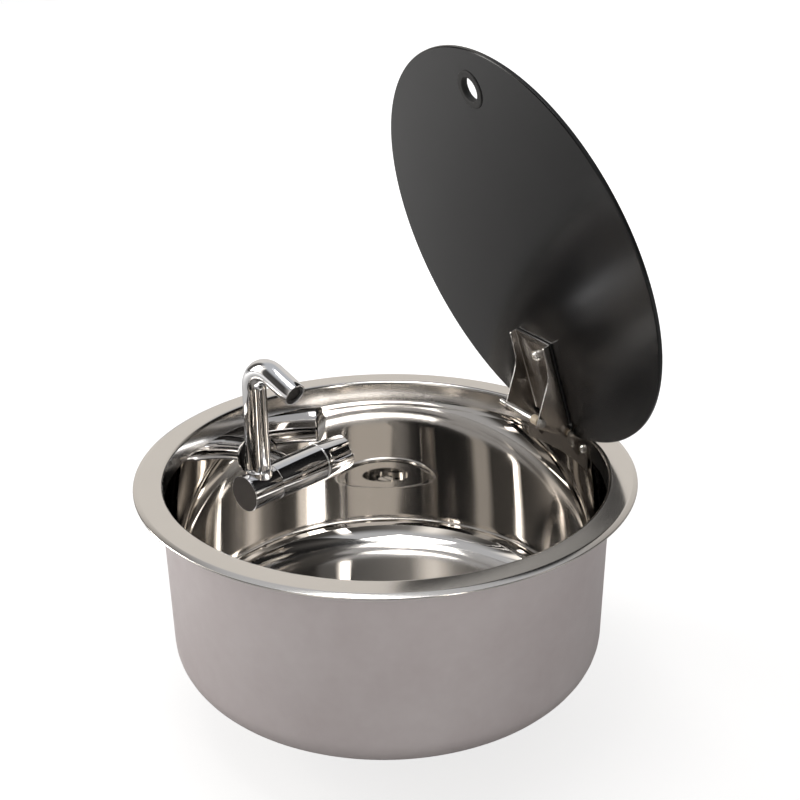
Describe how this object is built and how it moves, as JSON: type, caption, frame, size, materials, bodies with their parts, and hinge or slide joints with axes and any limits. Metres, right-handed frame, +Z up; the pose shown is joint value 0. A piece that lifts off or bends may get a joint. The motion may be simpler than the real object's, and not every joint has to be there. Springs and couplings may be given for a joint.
{
  "type": "round drop-in sink with hinged glass lid and folding tap",
  "caption": "Round steel drop-in sink with a hinged black glass lid, a wall-mounted folding tap inside the bowl and a bottom waste outlet.",
  "frame": {"origin": "on the bowl's vertical axis, in the plane of the worktop's surface", "axes": "+Z up, +Y from the bowl's axis towards the lid's hinge, X along the hinge pin"},
  "size_m": [0.4409, 0.42, 0.5711],
  "materials": {
    "bowl_steel": "stainless sheet, mirror bright inside and on the rim, satin outside",
    "bracket_steel": "stainless sheet, fine satin, bright cut edges",
    "screw_steel": "bright stainless",
    "chrome": "polished chrome plate",
    "cap_metal": "flat matt grey",
    "tinted_glass": "black tinted toughened glass, glossy",
    "seal_rubber": "matt black",
    "black_plastic": "moulded black",
    "clear_nylon": "natural beige nylon",
    "brass": "turned",
    "mesh": "dark fine mesh"
  },
  "bodies": {
    "sink": {"rim_ring": "bowl_steel", "bowl": "bowl_steel", "rim_seal": "seal_rubber", "strainer_gasket": "seal_rubber", "waste_gasket": "seal_rubber", "waste_strainer": "bowl_steel", "waste_body": "black_plastic", "waste_screw": "screw_steel", "hinge_base": "bracket_steel", "hinge_pin": "screw_steel", "hinge_washers": "clear_nylon", "base_screws": "screw_steel", "base_nuts": "screw_steel", "tap_body": "chrome", "tap_rose": "chrome", "rose_gasket": "seal_rubber", "outer_gasket": "seal_rubber", "shank_washer": "screw_steel", "shank_nut": "brass", "inlet_tail": "brass", "journal_rings": "seal_rubber", "tap_trim_ring": "chrome", "tap_cartridge": "black_plastic"},
    "lid": {"lid_glass": "tinted_glass", "finger_grommet": "seal_rubber", "lid_bracket": "bracket_steel", "bracket_pad": "seal_rubber", "lid_screws": "screw_steel", "lid_washers": "screw_steel", "glass_sleeves": "clear_nylon", "cap_gaskets": "seal_rubber", "lid_cap_nuts": "chrome", "cross_bolt": "screw_steel", "cross_tube": "screw_steel", "cross_bush": "clear_nylon", "cross_nut": "screw_steel"},
    "spout": {"spout_base": "chrome", "spout_end_cap": "cap_metal", "spout_tube": "chrome", "aerator_insert": "black_plastic", "aerator_mesh": "mesh"},
    "knob": {"tap_knob": "chrome", "tap_spindle": "brass"}
  },
  "joints": [
    {"name": "lid_hinge", "type": "hinge", "parent": "sink", "child": "lid", "pos_m": [0, 0.1735, 0.0017], "axis": [1, 0, 0], "range_deg": [0, 72.5]},
    {"name": "spout_fold", "type": "hinge", "parent": "sink", "child": "spout", "pos_m": [-0.13075, -0.02293, -0.0521], "axis": [-0.2756, 0.9613, 0], "range_deg": [0, 90]},
    {"name": "knob_turn", "type": "hinge", "parent": "sink", "child": "knob", "pos_m": [-0.13075, -0.02293, -0.0521], "axis": [-0.2756, 0.9613, 0], "range_deg": [0, 90]}
  ],
  "couplings": [
    {"joint": "spout_fold", "follows": "lid_hinge", "ratio": 1.2414}
  ]
}
